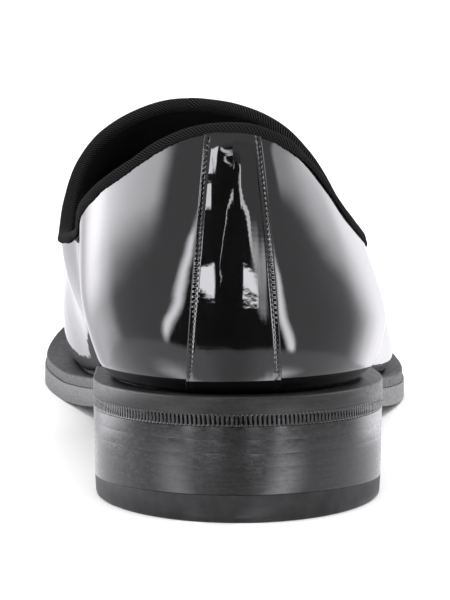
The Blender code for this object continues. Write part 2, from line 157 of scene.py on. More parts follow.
# Ridge of the last, from above the heel to above the toes.
RidgeRow = namedtuple("RidgeRow", "y x z")
RIDGE = (
    RidgeRow(45.0, -1.0, 115.0),
    RidgeRow(80.0, -4.5, 110.0),
    RidgeRow(105.0, -7.0, 101.5),
    RidgeRow(130.0, -9.2, 88.0),
    RidgeRow(150.0, -10.0, 77.6),
    RidgeRow(172.0, -9.5, 67.0),
    RidgeRow(200.0, -8.5, 55.8),
    RidgeRow(228.0, -8.5, 48.4),
    RidgeRow(258.0, -9.0, 45.4),
)

# Where ribs that leave the ridge reach the feather line on each side.
FanRow = namedtuple("FanRow", "ridge_y inner_y outer_y")
FAN = (
    FanRow(45.0, 46.0, 46.0),
    FanRow(130.0, 137.0, 135.0),
    FanRow(258.0, 262.0, 258.0),
)
HEEL_PIVOT_Y = 45.0
THROAT_Y = 130.0
TOE_PIVOT_Y = 258.0

# Ribs by side: swell beyond the feather line, height of the widest point and fullness of
# the shoulder above it.
RibRow = namedtuple("RibRow", "y swell widest full")
INNER_RIBS = (
    RibRow(3.3, 1.6, 47.0, 2.9),
    RibRow(6.0, 2.0, 47.5, 2.7),
    RibRow(11.0, 3.2, 48.0, 2.5),
    RibRow(18.0, 4.6, 49.0, 2.3),
    RibRow(29.0, 5.6, 50.0, 2.3),
    RibRow(42.0, 5.7, 51.0, 2.6),
    RibRow(58.0, 6.2, 57.0, 2.8),
    RibRow(76.0, 7.4, 59.0, 2.8),
    RibRow(92.0, 10.8, 58.0, 2.8),
    RibRow(106.0, 12.9, 55.0, 2.9),
    RibRow(117.0, 12.6, 51.0, 2.7),
    RibRow(127.0, 11.2, 47.0, 2.4),
    RibRow(137.0, 10.2, 43.0, 2.05),
    RibRow(165.0, 6.4, 36.0, 2.0),
    RibRow(200.0, 2.6, 27.0, 2.1),
    RibRow(228.0, 0.8, 20.0, 2.1),
    RibRow(262.0, 0.8, 23.0, 2.3),
    RibRow(291.5, 0.8, 29.0, 2.4),
)
OUTER_RIBS = (
    RibRow(3.3, 1.6, 47.0, 2.9),
    RibRow(6.0, 1.9, 46.5, 2.6),
    RibRow(11.0, 2.4, 45.0, 1.8),
    RibRow(18.0, 2.9, 44.0, 1.5),
    RibRow(29.0, 3.3, 43.0, 1.29),
    RibRow(42.0, 3.8, 42.0, 1.24),
    RibRow(58.0, 4.6, 41.0, 1.26),
    RibRow(76.0, 6.4, 40.0, 1.34),
    RibRow(92.0, 7.2, 38.0, 1.38),
    RibRow(106.0, 6.6, 35.0, 1.47),
    RibRow(117.0, 5.4, 31.0, 1.64),
    RibRow(127.0, 4.2, 28.0, 1.81),
    RibRow(135.0, 3.6, 26.0, 1.9),
    RibRow(165.0, 1.5, 21.0, 1.7),
    RibRow(201.0, 0.5, 14.0, 1.65),
    RibRow(258.0, 0.8, 22.0, 2.2),
    RibRow(291.5, 0.8, 29.0, 2.4),
)

# Height of the topline over the feather line's y, from behind the heel to the throat.
TopRow = namedtuple("TopRow", "y z")
INNER_TOPLINE = (
    TopRow(3.3, 89.2),
    TopRow(6.0, 87.8),
    TopRow(11.0, 84.5),
    TopRow(18.0, 79.6),
    TopRow(29.0, 73.5),
    TopRow(42.0, 67.6),
    TopRow(58.0, 62.9),
    TopRow(76.0, 58.8),
    TopRow(92.0, 55.6),
    TopRow(106.0, 54.2),
    TopRow(117.0, 60.6),
    TopRow(127.0, 74.0),
    TopRow(137.0, 88.0),
)
OUTER_TOPLINE = (
    TopRow(3.3, 89.2),
    TopRow(6.0, 86.4),
    TopRow(11.0, 81.9),
    TopRow(18.0, 76.2),
    TopRow(29.0, 67.9),
    TopRow(42.0, 62.2),
    TopRow(58.0, 58.8),
    TopRow(76.0, 56.4),
    TopRow(92.0, 54.2),
    TopRow(106.0, 55.0),
    TopRow(117.0, 67.2),
    TopRow(127.0, 81.6),
    TopRow(135.0, 88.2),
)

# Ribbon over the topline: how far its legs reach down and out, and the pitch and depth of the dips
# between its stitches.
RIBBON_REACH = 1.6
RIBBON_INNER_REACH = 1.8
RIBBON_OUT = 0.75
RIBBON_PITCH = 1.5
RIBBON_DIP = 0.12
RIBBON_STEPS = 1200

# How the ribbon drifts along the topline: size, pace for each millimetre and seed.
Drift = namedtuple("Drift", "size pace seed")
RIBBON_WANDER = Drift(0.5, 0.11, 3.7)
RIBBON_RIPPLE = Drift(0.2, 0.35, 9.1)
RIBBON_PLUMP = Drift(0.14, 0.16, 21.3)
RIBBON_LIFT = Drift(0.14, 0.13, 5.9)

# Backstay: half widths at its foot and at its head, the distance of its head under the topline, the
# angle of the heel that is read for it on each side, and its start as a share of its height.
BACKSTAY_FOOT = 11.2
BACKSTAY_HEAD = 6.6
BACKSTAY_UNDER = 1.1
BACKSTAY_SWEEP = 0.34
BACKSTAY_START = 0.012
BACKSTAY_STEPS = 240
BACKSTAY_SINK = 0.05

# Cut edge of the backstay: distances in from it and shares of the thickness there. Then its face:
# places across it, closer together over the seams, as shares of what lies within a margin.
STRIP_EDGE = ((0.0, 0.0), (0.0, 0.6), (0.06, 0.86), (0.22, 1.0))
STRIP_MARGIN = 0.42
SEAM_PLACES = np.linspace(0.62, 1.0, 12)
STRIP_PLACES = (*-SEAM_PLACES[::-1], *np.linspace(-0.58, 0.58, 16), *SEAM_PLACES)

# Towards its head the backstay is skived thinner and puckers, with paces for each millimetre.
SKIVE_START = 0.955
SKIVE_SHARE = 0.5
PUCKER_START = 0.84
PUCKER_HEIGHT = 0.16
PUCKER_ACROSS = 0.22
PUCKER_ALONG = 0.3
PUCKER_SEED = 2.0

# Rows of stitches: distance from the strip's edge, pitch, half sizes of one bead across, along and
# up, its depth under the strip's face, its lean, and where the rows start and how long they are.
STITCH_INSET = 1.05
STITCH_PITCH = 1.15
STITCH_BEAD = (0.15, 0.4, 0.12)
STITCH_SINK = 0.16
STITCH_LEAN = 0.25
STITCH_START = 0.02
STITCH_RUN = 0.97

# The seam that the stitches pull in: its width, its depth all along and at each stitch, and the
# puffed line beside it.
SEAM_WIDTH = 0.42
SEAM_DEPTH = 0.1
SEAM_BEAT = 0.05
PUFF_HEIGHT = 0.02
PUFF_PLACE = 0.75
PUFF_WIDTH = 0.5

# Wheel marks round the heel rand, up to the breast: steps to a mark and up the band, the sharpness of
# a mark, how quickly marks fade to the band's edges, how deep a mark must be for its painted shade, and
# the band's depth.
NOTCH_PITCH = 1.1
NOTCH_DEPTH = 0.5
NOTCH_SLANT = 0.06
NOTCH_STEPS = 7
NOTCH_ROWS = 10
NOTCH_SHARPNESS = 1.5
NOTCH_FADE = 9.0
NOTCH_SHADE_FROM = 0.3
NOTCH_END_Y = HEEL_BREAST_Y - HEEL_BREAST_HOLLOW - 0.4
RAND_DEPTH = 6.0
RAND_STEPS = 400

# Numbers of ribs in each stretch of one side, of steps up a rib, of stations along the sole, the heel
# and its breast, and of columns and rows of the ground under the backstay.
HEEL_RIBS = 30
QUARTER_RIBS = 64
VAMP_RIBS = 44
TOE_RIBS = 26
RIB_STEPS = 48
RIB_SAMPLES = 64
PLAN_STEPS = 110
HEEL_STEPS = 60
BREAST_STEPS = 12
GROUND_COLUMNS = 48
GROUND_ROWS = 120
RELAX_ROUNDS = 14

# How the foot of the upper curls in to the feather line.
TUCK_HEIGHT = 4.6
TUCK_DEPTH = 2.0
TUCK_ROWS = 8

# Where the plan's own hindmost and inmost points lie in the frame of the CAD.
SOLE_CORNER = Vector((SOLE_PLAN.ball.inner_x, SOLE_PLAN.back[1], 0.0)) * MM
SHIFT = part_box("outsole")[0] - SOLE_CORNER
SHIFT.z = 0.0


# Lines of the shoe.


def curve(rows, column, y):
    """Value of a table's column at y, on a smooth curve with no overshoot between rows."""
    ys = [row[0] for row in rows]
    values = [getattr(row, column) for row in rows]
    if y <= ys[0]:
        return values[0]
    if y >= ys[-1]:
        return values[-1]
    i = max(k for k in range(len(ys) - 1) if ys[k] <= y)
    steps = [b - a for a, b in zip(ys, ys[1:])]
    slopes = [(b - a) / h for a, b, h in zip(values, values[1:], steps)]

    def tangent(k):
        if k == 0 or k == len(ys) - 1:
            return slopes[min(k, len(slopes) - 1)]
        before, after = slopes[k - 1], slopes[k]
        if before * after <= 0:
            return 0.0
        h0, h1 = steps[k - 1], steps[k]
        w0, w1 = 2 * h1 + h0, h1 + 2 * h0
        return (w0 + w1) / (w0 / before + w1 / after)

    h = steps[i]
    s = (y - ys[i]) / h
    return (
        (1 + 2 * s) * (1 - s) ** 2 * values[i]
        + s * (1 - s) ** 2 * h * tangent(i)
        + s * s * (3 - 2 * s) * values[i + 1]
        + s * s * (s - 1) * h * tangent(i + 1)
    )


def ease(s):
    return s * s * (3 - 2 * s)


def plan_x(plan, side, y):
    """X of a plan outline at y, on the inner or the outer side."""
    near = {"inner": 0, "outer": 2}[side]
    (heel_y, heel_x), (waist_y, waist_x), (ball_y, ball_x) = (
        row[near : near + 2] for row in (plan.heel, plan.waist, plan.ball)
    )
    back_x, back_y = plan.back
    tip_x, tip_y = plan.tip
    if y <= heel_y:
        s = min(1.0, (heel_y - y) / (heel_y - back_y))
        return back_x + (heel_x - back_x) * math.sqrt(1 - s * s)
    if y <= waist_y:
        return heel_x + (waist_x - heel_x) * ease((y - heel_y) / (waist_y - heel_y))
    if y <= ball_y:
        return waist_x + (ball_x - waist_x) * ease((y - waist_y) / (ball_y - waist_y))
    roundness = plan.inner_round if side == "inner" else plan.outer_round
    s = min(1.0, (y - ball_y) / (tip_y - ball_y))
    return tip_x + (ball_x - tip_x) * (1 - s**roundness) ** (1 / roundness)


def inset_plan(plan, by):
    """The outline drawn in by a distance on every side."""
    rows = [
        PlanRow(r.inner_y, r.inner_x + by, r.outer_y, r.outer_x - by)
        for r in (plan.heel, plan.waist, plan.ball)
    ]
    (back_x, back_y), (tip_x, tip_y) = plan.back, plan.tip
    return plan._replace(
        heel=rows[0],
        waist=rows[1],
        ball=rows[2],
        back=(back_x, back_y + by),
        tip=(tip_x, tip_y - by),
    )


def stations(start, end, count, round_start=True, round_end=True):
    """Y values from start to end, crowded towards the ends that are round."""
    span = math.pi * (1 if round_start and round_end else 0.5)
    found = []
    for k in range(count + 1):
        a = span * k / count
        if round_start and round_end:
            share = (1 - math.cos(a)) / 2
        elif round_start:
            share = 1 - math.cos(a)
        else:
            share = math.sin(a)
        found.append(start + (end - start) * share)
    return found


def underside_z(y):
    return curve(PROFILE, "underside", y)


def feather_z(y):
    return curve(PROFILE, "feather", y)


def welt_height(y):
    """Thickness of the welt, skived down to a thin end beside the heel breast."""
    s = min(1.0, max(0.0, (y - WELT_START_Y) / WELT_SKIVE))
    return WELT_THIN + (WELT_THICKNESS - WELT_THIN) * ease(s)


def outsole_top_z(y):
    """Top of the outsole: under the upper at the heel, and under the welt in front."""
    s = min(1.0, max(0.0, (y - WELT_START_Y + WELT_STEP_LEAD) / WELT_STEP))
    return feather_z(y) - GAP - ease(s) * (welt_height(max(y, WELT_START_Y)) + GAP)


def rib(side, y, ridge_y):
    """Points up the outside of a rib, from the feather line to its cut or the ridge."""
    rows = INNER_RIBS if side == "inner" else OUTER_RIBS
    topline = INNER_TOPLINE if side == "inner" else OUTER_TOPLINE
    swell, widest, full = (curve(rows, column, y) for column in RibRow._fields[1:])
    foot_x, foot_z = plan_x(FEATHER_PLAN, side, y), feather_z(y)
    crest_x, crest_z = curve(RIDGE, "x", ridge_y), curve(RIDGE, "z", ridge_y)
    run = math.hypot(crest_x - foot_x, ridge_y - y)
    straight = ridge_y in (HEEL_PIVOT_Y, TOE_PIVOT_Y)

    def place(along, z):
        share = along / run
        turn = share if straight else math.sin(share * math.pi / 2)
        return foot_x + (crest_x - foot_x) * share, y + (ridge_y - y) * turn, z

    points = []
    for k in range(RIB_SAMPLES + 1):
        s = k / RIB_SAMPLES
        z = foot_z + (widest - foot_z) * s
        points.append(place(-swell * math.sin(s * math.pi / 2), z))
    for k in range(1, RIB_SAMPLES + 1):
        a = math.pi / 2 * k / RIB_SAMPLES
        along = (run + swell) * (1 - max(0.0, math.cos(a)) ** (2 / full)) - swell
        z = widest + (crest_z - widest) * math.sin(a) ** (2 / full)
        points.append(place(along, z))
    whole = ridge_y >= THROAT_Y
    return np.array(points) if whole else cut_at(np.array(points), curve(topline, "z", y))


def cut_at(points, z):
    """The part of a rising line of points below a height."""
    above = np.nonzero(points[:, 2] >= z)[0]
    if not len(above) or above[0] == 0:
        return points
    k = above[0]
    share = (z - points[k - 1, 2]) / (points[k, 2] - points[k - 1, 2])
    end = points[k - 1] + (points[k] - points[k - 1]) * share
    return np.vstack([points[:k], end])


def lengths(points):
    steps = np.linalg.norm(np.diff(points, axis=0), axis=1)
    return np.concatenate([[0.0], np.cumsum(steps)])


def at_lengths(points, wanted):
    """Points of a line at the wanted distances from its start."""
    run = lengths(points)
    return np.stack([np.interp(wanted, run, points[:, k]) for k in range(3)], axis=1)


def even(points, steps):
    return at_lengths(points, np.linspace(0.0, lengths(points)[-1], steps + 1))


def rib_places(side):
    """(foot y, ridge y) of each rib of one side, from behind the heel to the toe tip."""
    column = "inner_y" if side == "inner" else "outer_y"
    back_y, tip_y = FEATHER_PLAN.back[1], FEATHER_PLAN.tip[1]
    heel_y = curve(FAN, column, HEEL_PIVOT_Y)
    toe_y = curve(FAN, column, TOE_PIVOT_Y)
    places = [(y, HEEL_PIVOT_Y) for y in stations(back_y, heel_y, HEEL_RIBS, True, False)]
    for y in stations(HEEL_PIVOT_Y, THROAT_Y, QUARTER_RIBS, False, True)[1:]:
        places.append((curve(FAN, column, y), y))
    for k in range(1, VAMP_RIBS + 1):
        y = THROAT_Y + (TOE_PIVOT_Y - THROAT_Y) * k / VAMP_RIBS
        places.append((curve(FAN, column, y), y))
    places += [(y, TOE_PIVOT_Y) for y in stations(toe_y, tip_y, TOE_RIBS, False, True)[1:]]
    return places


# Sheets and pieces.


def sheet(points):
    """A bmesh grid with its crossings at points[column][row], merged where they meet.

    Faces look to the right of the columns' way, with the rows running up.
    """
    columns, rows = points.shape[0] - 1, points.shape[1] - 1
    bm = bmesh.new()
    bm.loops.layers.uv.new("UVMap")
    made = bmesh.ops.create_grid(
        bm, x_segments=columns, y_segments=rows, size=0.5, calc_uvs=True
    )["verts"]
    for vertex in made:
        column = round((vertex.co.x + 0.5) * columns)
        row = round((vertex.co.y + 0.5) * rows)
        vertex.co = Vector(points[column, row]) * MM
    bmesh.ops.remove_doubles(bm, verts=bm.verts[:], dist=MERGE * MM)
    return bm


def relax(bm, rounds):
    """Evens out the curve of a sheet while its borders stay."""
    inside = [v for v in bm.verts if not v.is_boundary]
    for _ in range(rounds):
        bmesh.ops.smooth_vert(
            bm, verts=inside, factor=0.5, use_axis_x=True, use_axis_y=True, use_axis_z=True
        )


def piece(bm, name, finishes, replaces=None, sharp=40.0, closed=True):
    """The mesh as an object on the shoe's frame, with its finishes, riding on the root."""
    if closed:
        bmesh.ops.recalc_face_normals(bm, faces=bm.faces[:])
    bmesh.ops.translate(bm, verts=bm.verts[:], vec=SHIFT)
    mesh = bpy.data.meshes.new(name)
    bm.to_mesh(mesh)
    bm.free()
    mesh.shade_smooth()
    mesh.set_sharp_from_angle(angle=math.radians(sharp))
    for finish in finishes:
        mesh.materials.append(finish)
    made = bpy.data.objects.new(name, mesh)
    bpy.context.scene.collection.objects.link(made)
    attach(made, "root")
    if replaces:
        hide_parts(replaces)
    return made


# Upper and its topline.


def make_upper(lining):
    """Wall of patent leather with its lining. Returns its outside, to lay pieces on, and the topline."""
    outer = [rib_rows(rib("outer", *place)) for place in rib_places("outer")]
    inner = [rib_rows(rib("inner", *place)) for place in rib_places("inner")]
    grid = np.array(outer + inner[-2::-1])
    bm = sheet(grid)
    relax(bm, RELAX_ROUNDS)
    bm.normal_update()
    tuck_feather(bm)
    bm.normal_update()
    outside = BVHTree.FromBMesh(bm)
    normals = {place_key(v.co / MM): v.normal.copy() for v in bm.verts if v.is_boundary}
    throat = HEEL_RIBS + QUARTER_RIBS
    edge = [p[-1] for p in outer[throat - 1 : 0 : -1]] + [p[-1] for p in inner[: throat + 1]]
    topline = [(Vector(p), normals[place_key(p)]) for p in edge]
    made = piece(
        bm,
        "upper_shell",
        [patent_leather(), lining],
        replaces="upper",
        closed=False,
    )
    wall = made.modifiers.new("wall", "SOLIDIFY")
    wall.thickness = WALL * MM
    wall.offset = -1.0
    wall.material_offset = 1
    wall.material_offset_rim = 1
    return outside, topline


def rib_rows(points):
    """Points up a rib, close together near the feather line."""
    whole = lengths(points)[-1]
    close = np.linspace(0.0, TUCK_HEIGHT, TUCK_ROWS + 1)
    rest = np.linspace(TUCK_HEIGHT, whole, RIB_STEPS + 1)
    return at_lengths(points, np.concatenate([close, rest[1:]]))


def tuck_feather(bm):
    """Draws the lowest millimetres of the upper in, where it was pulled round the last."""
    for vertex in bm.verts:
        height = vertex.co.z / MM - feather_z(vertex.co.y / MM)
        if height < TUCK_HEIGHT:
            share = 1 - max(0.0, height) / TUCK_HEIGHT
            vertex.co -= vertex.normal * (TUCK_DEPTH * share**2 * MM)


def place_key(point):
    return tuple(round(c, 2) for c in point)


def topline_frames(topline, count):
    """(edge, out, up, distance) at even steps round the closed topline."""
    edge = np.array([p for p, _ in topline] + [topline[0][0]])
    out = np.array([n for _, n in topline] + [topline[0][1]])
    run = lengths(edge)

    def read(values, s):
        return Vector([np.interp(s % run[-1], run, values[:, k]) for k in range(3)])

    frames = []
    for s in np.linspace(0.0, run[-1], count + 1):
        normal = read(out, s).normalized()
        way = read(edge, s + 1.0) - read(edge, s - 1.0)
        up = way.normalized().cross(normal).normalized()
        frames.append((read(edge, s), normal, up, s))
    return frames


def ribbon_section(reach, plump):
    """Folded ribbon as (out, up) round the top edge of the wall, outer leg first."""
    far = RIBBON_OUT + plump
    inside = -WALL
    inner_reach = RIBBON_INNER_REACH
    return (
        (0.05, -reach + 0.2),
        (0.35, -reach),
        (far - 0.1, -reach + 0.35),
        (far + 0.1, -reach * 0.55),
        (far + 0.05, -0.1),
        (far - 0.25, 0.5),
        (far - 0.8, 0.86),
        (inside * 0.5, 1.0),
        (inside + 0.2, 0.86),
        (inside - 0.45, 0.5),
        (inside - 0.75, -0.1),
        (inside - 0.8, -inner_reach * 0.55),
        (inside - 0.65, -inner_reach + 0.2),
        (inside - 0.3, -inner_reach),
        (inside - 0.04, -inner_reach + 0.3),
        (inside - 0.02, -0.05),
        (inside + 0.2, 0.06),
        (-0.2, 0.06),
        (0.02, -0.05),
    )


def rounded(section, fine):
    """A closed line through the corners of a section, with fine points for each corner."""
    corners = np.array(section)
    found = []
    count = len(corners)
    for k in range(count):
        a, b, c, d = (corners[(k + j) % count] for j in (-1, 0, 1, 2))
        for i in range(fine):
            s = i / fine
            found.append(
                0.5
                * (
                    2 * b
                    + (c - a) * s
                    + (2 * a - 5 * b + 4 * c - d) * s * s
                    + (3 * b - a - 3 * c + d) * s**3
                )
            )
    return np.array(found + found[:1])


def drifted(drift, s):
    return drift.size * noise.noise(Vector((s * drift.pace, drift.seed, 0.0)))


def make_binding(topline):
    """Ribbon folded over the topline. Its lower edge dips between the stitches that hold it."""
    columns = []
    for edge, out, up, s in topline_frames(topline, RIBBON_STEPS):
        reach = RIBBON_REACH + drifted(RIBBON_WANDER, s) + drifted(RIBBON_RIPPLE, s)
        reach += RIBBON_DIP * abs(math.sin(math.pi * s / RIBBON_PITCH))
        lift = up * drifted(RIBBON_LIFT, s)
        section = rounded(ribbon_section(reach, drifted(RIBBON_PLUMP, s)), 2)
        columns.append([edge + lift + out * a + up * b for a, b in section])
    grid = np.array(columns)
    grid[-1] = grid[0]
    piece(sheet(grid), "topline_ribbon", [twill_ribbon()], "topline_binding", sharp=70.0)


# Backstay and its stitches.


def heel_pivot():
    return curve(RIDGE, "x", HEEL_PIVOT_Y), HEEL_PIVOT_Y


def heel_angle(x, y):
    """Angle of a place round the heel's pivot, from straight behind, inner side below zero."""
    pivot_x, pivot_y = heel_pivot()
    return math.atan2(x - pivot_x, pivot_y - y)


def heel_rib(angle):
    """Rib whose foot lies at an angle round the heel's pivot, found by halving."""
    side = "inner" if angle < 0 else "outer"
    low, high = FEATHER_PLAN.back[1], HEEL_PIVOT_Y
    for _ in range(40):
        y = (low + high) / 2
        found = heel_angle(plan_x(FEATHER_PLAN, side, y), y)
        if found * angle < 0 or abs(found) < abs(angle):
            low = y
        else:
            high = y
    return rib(side, (low + high) / 2, HEEL_PIVOT_Y)


class BackstayGround:
    """The part of the heel's outside that the backstay lies on, read by angle and share of height."""

    def __init__(self, outside):
        self.outside = outside
        back = rib("inner", FEATHER_PLAN.back[1], HEEL_PIVOT_Y)
        self.middle = heel_angle(*back[0, :2])
        self.reach = math.dist(back[0, :2], heel_pivot())
        sweep = np.linspace(-BACKSTAY_SWEEP, BACKSTAY_SWEEP, GROUND_COLUMNS + 1)
        self.angles = self.middle + sweep
        self.height = lengths(back)[-1] - BACKSTAY_UNDER
        self.shares = np.linspace(0.0, 1.0, GROUND_ROWS + 1)
        patch = []
        for angle in self.angles:
            points = heel_rib(angle)
            patch.append(at_lengths(points, self.shares * (lengths(points)[-1] - BACKSTAY_UNDER)))
        self.patch = np.array(patch)

    def drawn(self, offset, share):
        """Point on the drawn ribs at a distance across from the middle of the strip."""
        k = min(GROUND_ROWS - 1, int(share * GROUND_ROWS))
        part = share * GROUND_ROWS - k
        row = self.patch[:, k] * (1 - part) + self.patch[:, k + 1] * part
        angle = self.middle + offset / self.reach
        return Vector([np.interp(angle, self.angles, row[:, c]) for c in range(3)])

    def point(self, offset, share):
        """The same point set on the upper's outside, straight in from where it is drawn."""
        drawn = self.drawn(offset, share) * MM
        pivot = Vector(heel_pivot()) * MM
        inward = (pivot - drawn.xy).normalized().to_3d()
        away = 20.0 * MM
        hit = self.outside.ray_cast(drawn - inward * away, inward, 2 * away)[0]
        return (hit or self.outside.find_nearest(drawn)[0]) / MM


def half_width(share):
    """Half the width of the backstay at a share of its height."""
    return BACKSTAY_FOOT + (BACKSTAY_HEAD - BACKSTAY_FOOT) * share


def strip_height(across, half, along):
    """Height of the strip's face over the upper, drawn in where the stitches pull."""
    from_seam = abs(half - abs(across) - STITCH_INSET)
    pull = math.exp(-((from_seam / SEAM_WIDTH) ** 2))
    beat = 0.55 + 0.45 * math.cos(2 * math.pi * along / STITCH_PITCH)
    puff = math.exp(-(((from_seam - PUFF_PLACE) / PUFF_WIDTH) ** 2))
    return BACKSTAY_THICKNESS - SEAM_BEAT * pull * beat - SEAM_DEPTH * pull + PUFF_HEIGHT * puff


def make_backstay(ground):
    """Strip over the back seam, with cut edges, and a row of stitches inside each edge."""
    shares = np.linspace(BACKSTAY_START, 1.0, BACKSTAY_STEPS + 1)
    faces = [strip_line(ground, share) for share in shares]
    seat = np.array([[ground.point(o, s) for o, _ in line] for line, s in zip(faces, shares)])
    rise = np.array([[h for _, h in line] for line in faces])
    out = strip_normals(ground, faces, shares)
    face = seat + out * rise[:, :, None]
    under = seat - out * BACKSTAY_SINK
    for end in (0, -1):
        face[end] = under[end] = seat[end]
    grid = np.concatenate([face, under[:, ::-1], face[:, :1]], axis=1)
    bm = sheet(np.transpose(grid, (1, 0, 2)))
    bmesh.ops.dissolve_degenerate(bm, dist=SLIVER * MM, edges=bm.edges[:])
    piece(bm, "backstay_strip", [strip_leather()], "backstay", sharp=50.0)
    make_stitches(ground)


def strip_line(ground, share):
    """(distance across, height) of the strip's face along one line across it."""
    half = half_width(share)
    along = share * ground.height
    skive = 1.0 - SKIVE_SHARE * ease(max(0.0, (share - SKIVE_START) / (1 - SKIVE_START)))
    pucker = PUCKER_HEIGHT * max(0.0, (share - PUCKER_START) / (1 - PUCKER_START))
    line = [(-half + inset, BACKSTAY_THICKNESS * height) for inset, height in STRIP_EDGE]
    for place in STRIP_PLACES:
        offset = place * (half - STRIP_MARGIN)
        height = strip_height(offset, half, along)
        fold = Vector((offset * PUCKER_ACROSS, along * PUCKER_ALONG, PUCKER_SEED))
        height += pucker * noise.noise(fold)
        line.append((offset, height))
    line += [(half - inset, BACKSTAY_THICKNESS * height) for inset, height in reversed(STRIP_EDGE)]
    return [(offset, height * skive) for offset, height in line]


def strip_normals(ground, faces, shares):
    """Outward directions over the strip, from a coarser reading of the ribs."""
    marks = np.linspace(-1.0, 1.0, 13)
    coarse = []
    for share in shares:
        half = half_width(share)
        coarse.append([ground.drawn(m * half, share) for m in marks])
    coarse = np.array(coarse)
    out = np.cross(np.gradient(coarse, axis=1), np.gradient(coarse, axis=0))
    found = np.zeros((len(shares), len(faces[0]), 3))
    for k, (line, share) in enumerate(zip(faces, shares)):
        half = half_width(share)
        for i, (offset, _) in enumerate(line):
            found[k, i] = [np.interp(offset / half, marks, out[k, :, c]) for c in range(3)]
    return found / np.linalg.norm(found, axis=2, keepdims=True)


def make_stitches(ground):
    """Threads lying in the pulled seams, one short bead for each stitch."""
    bm = bmesh.new()
    count = int(ground.height * STITCH_RUN / STITCH_PITCH)
    size = Matrix.Diagonal((*STITCH_BEAD, 1.0))
    scale = Matrix.Scale(MM, 4)
    up_step = 0.004
    side_step = 0.3
    for side in (-1, 1):
        for k in range(count):
            share = STITCH_START + (k + 0.5) * STITCH_PITCH / ground.height
            offset = side * (half_width(share) - STITCH_INSET)
            here = ground.point(offset, share)
            ahead = ground.point(offset, share + up_step)
            beside = ground.point(offset + side_step, share)
            along = (ahead - here).normalized()
            out = (beside - here).cross(along).normalized()
            sideways = along.cross(out)
            lean = (along + sideways * STITCH_LEAN).normalized()
            turn = Matrix((lean.cross(out), lean, out)).transposed().to_4x4()
            place = Matrix.Translation((here + out * (BACKSTAY_THICKNESS - STITCH_SINK)) * MM)
            bmesh.ops.create_uvsphere(
                bm, u_segments=6, v_segments=4, radius=1.0, matrix=place @ scale @ turn @ size
            )
    piece(bm, "backstay_stitches", [waxed_thread()])


# Sole and heel.


def plan_ring(plan, ys, height):
    """Points round an outline at the given stations, outer side first, closed."""
    outer = [(plan_x(plan, "outer", y), y, height(y)) for y in ys]
    inner = [(plan_x(plan, "inner", y), y, height(y)) for y in ys]
    return outer + inner[-2::-1]


def middle_ring(ring):
    """The ring drawn together onto the line midway between its two sides."""
    points = np.array(ring)
    return (points + points[::-1]) / 2


def plate(name, finishes, layers, replaces):
    """A plate from heel to toe through layers of (outline, height function)."""
    rings = []
    for plan, height in layers:
        ys = stations(plan.back[1], plan.tip[1], PLAN_STEPS)
        rings.append(plan_ring(plan, ys, height))
    rings = [middle_ring(rings[0])] + rings + [middle_ring(rings[-1])]
    piece(sheet(columns_of(rings)), name, finishes, replaces)


def columns_of(rings):
    return np.transpose(np.array(rings), (1, 0, 2))


def round_edge(radius, steps):
    """(inset, drop) pairs over a quarter round, from the side to the flat."""
    found = []
    for k in range(steps + 1):
        a = math.pi / 2 * k / steps
        found.append((radius * (1 - math.cos(a)), radius * (1 - math.sin(a))))
    return found


def make_outsole():
    layers = []
    for inset, drop in reversed(round_edge(OUTSOLE_LOW_EDGE, 2)):
        layers.append((inset_plan(SOLE_PLAN, inset), lambda y, d=drop: underside_z(y) + d))
    for inset, drop in round_edge(OUTSOLE_TOP_EDGE, 4):
        layers.append((inset_plan(SOLE_PLAN, inset), lambda y, d=drop: outsole_top_z(y) - d))
    plate("outsole_leather", [sole_leather()], layers, "outsole")


def make_insole(lining):
    plan = inset_plan(FEATHER_PLAN, INSOLE_INSET)
    layers = [(plan, lambda y: outsole_top_z(y) + GAP)]
    for inset, drop in round_edge(INSOLE_EDGE, 3):
        layers.append((inset_plan(plan, inset), lambda y, d=drop: feather_z(y) + INSOLE_RISE - d))
    plate("insole_sock", [lining], layers, "insole")


def make_welt():
    """Strip under the upper's edge, from one side of the heel breast round the toe to the other."""
    outside = inset_plan(SOLE_PLAN, WELT_INSET)
    inside = inset_plan(FEATHER_PLAN, WELT_HOLD)
    seam = WELT_SEAM - GAP
    layers = [
        (inside, lambda y: 0.0),
        (inset_plan(outside, WELT_CHAMFER), lambda y: seam),
        (outside, lambda y: seam + WELT_CHAMFER),
    ]
    for inset, drop in round_edge(WELT_EDGE, 4):
        plan = inset_plan(outside, inset)
        layers.append((plan, lambda y, d=drop: max(WELT_LEAST_RISE, welt_height(y) - d)))
    layers.append((inside, welt_height))
    layers.append(layers[0])
    rings = []
    for plan, rise in layers:
        ys = stations(WELT_START_Y, plan.tip[1], PLAN_STEPS, False, True)
        rings.append(plan_ring(plan, ys, lambda y: outsole_top_z(y) + GAP + rise(y)))
    points = columns_of(rings)
    points = np.stack([drawn_together(points[0]), *points, drawn_together(points[-1])])
    piece(sheet(points), "welt_strip", [welt_leather()], "welt")


def drawn_together(loop):
    """A closed line of points all moved to its middle, which closes the end of a tube."""
    return np.repeat(loop[:-1].mean(axis=0, keepdims=True), len(loop), axis=0)


def heel_ring(by, height, fall, steps=HEEL_STEPS):
    """Outline of the heel at a height that falls forwards, hollowed at the breast, closed."""
    plan = inset_plan(SOLE_PLAN, by)
    ys = stations(plan.back[1], HEEL_BREAST_Y, steps, True, False)
    outer = [(plan_x(plan, "outer", y), y) for y in ys]
    inner = [(plan_x(plan, "inner", y), y) for y in ys]
    start, end = outer[-1][0], inner[-1][0]
    breast = []
    for k in range(1, BREAST_STEPS):
        s = k / BREAST_STEPS
        hollow = HEEL_BREAST_HOLLOW * math.sin(math.pi * s)
        breast.append((start + (end - start) * s, HEEL_BREAST_Y - hollow))
    ring = outer + breast + inner[::-1]
    return [(x, y, height - fall * y) for x, y in ring]


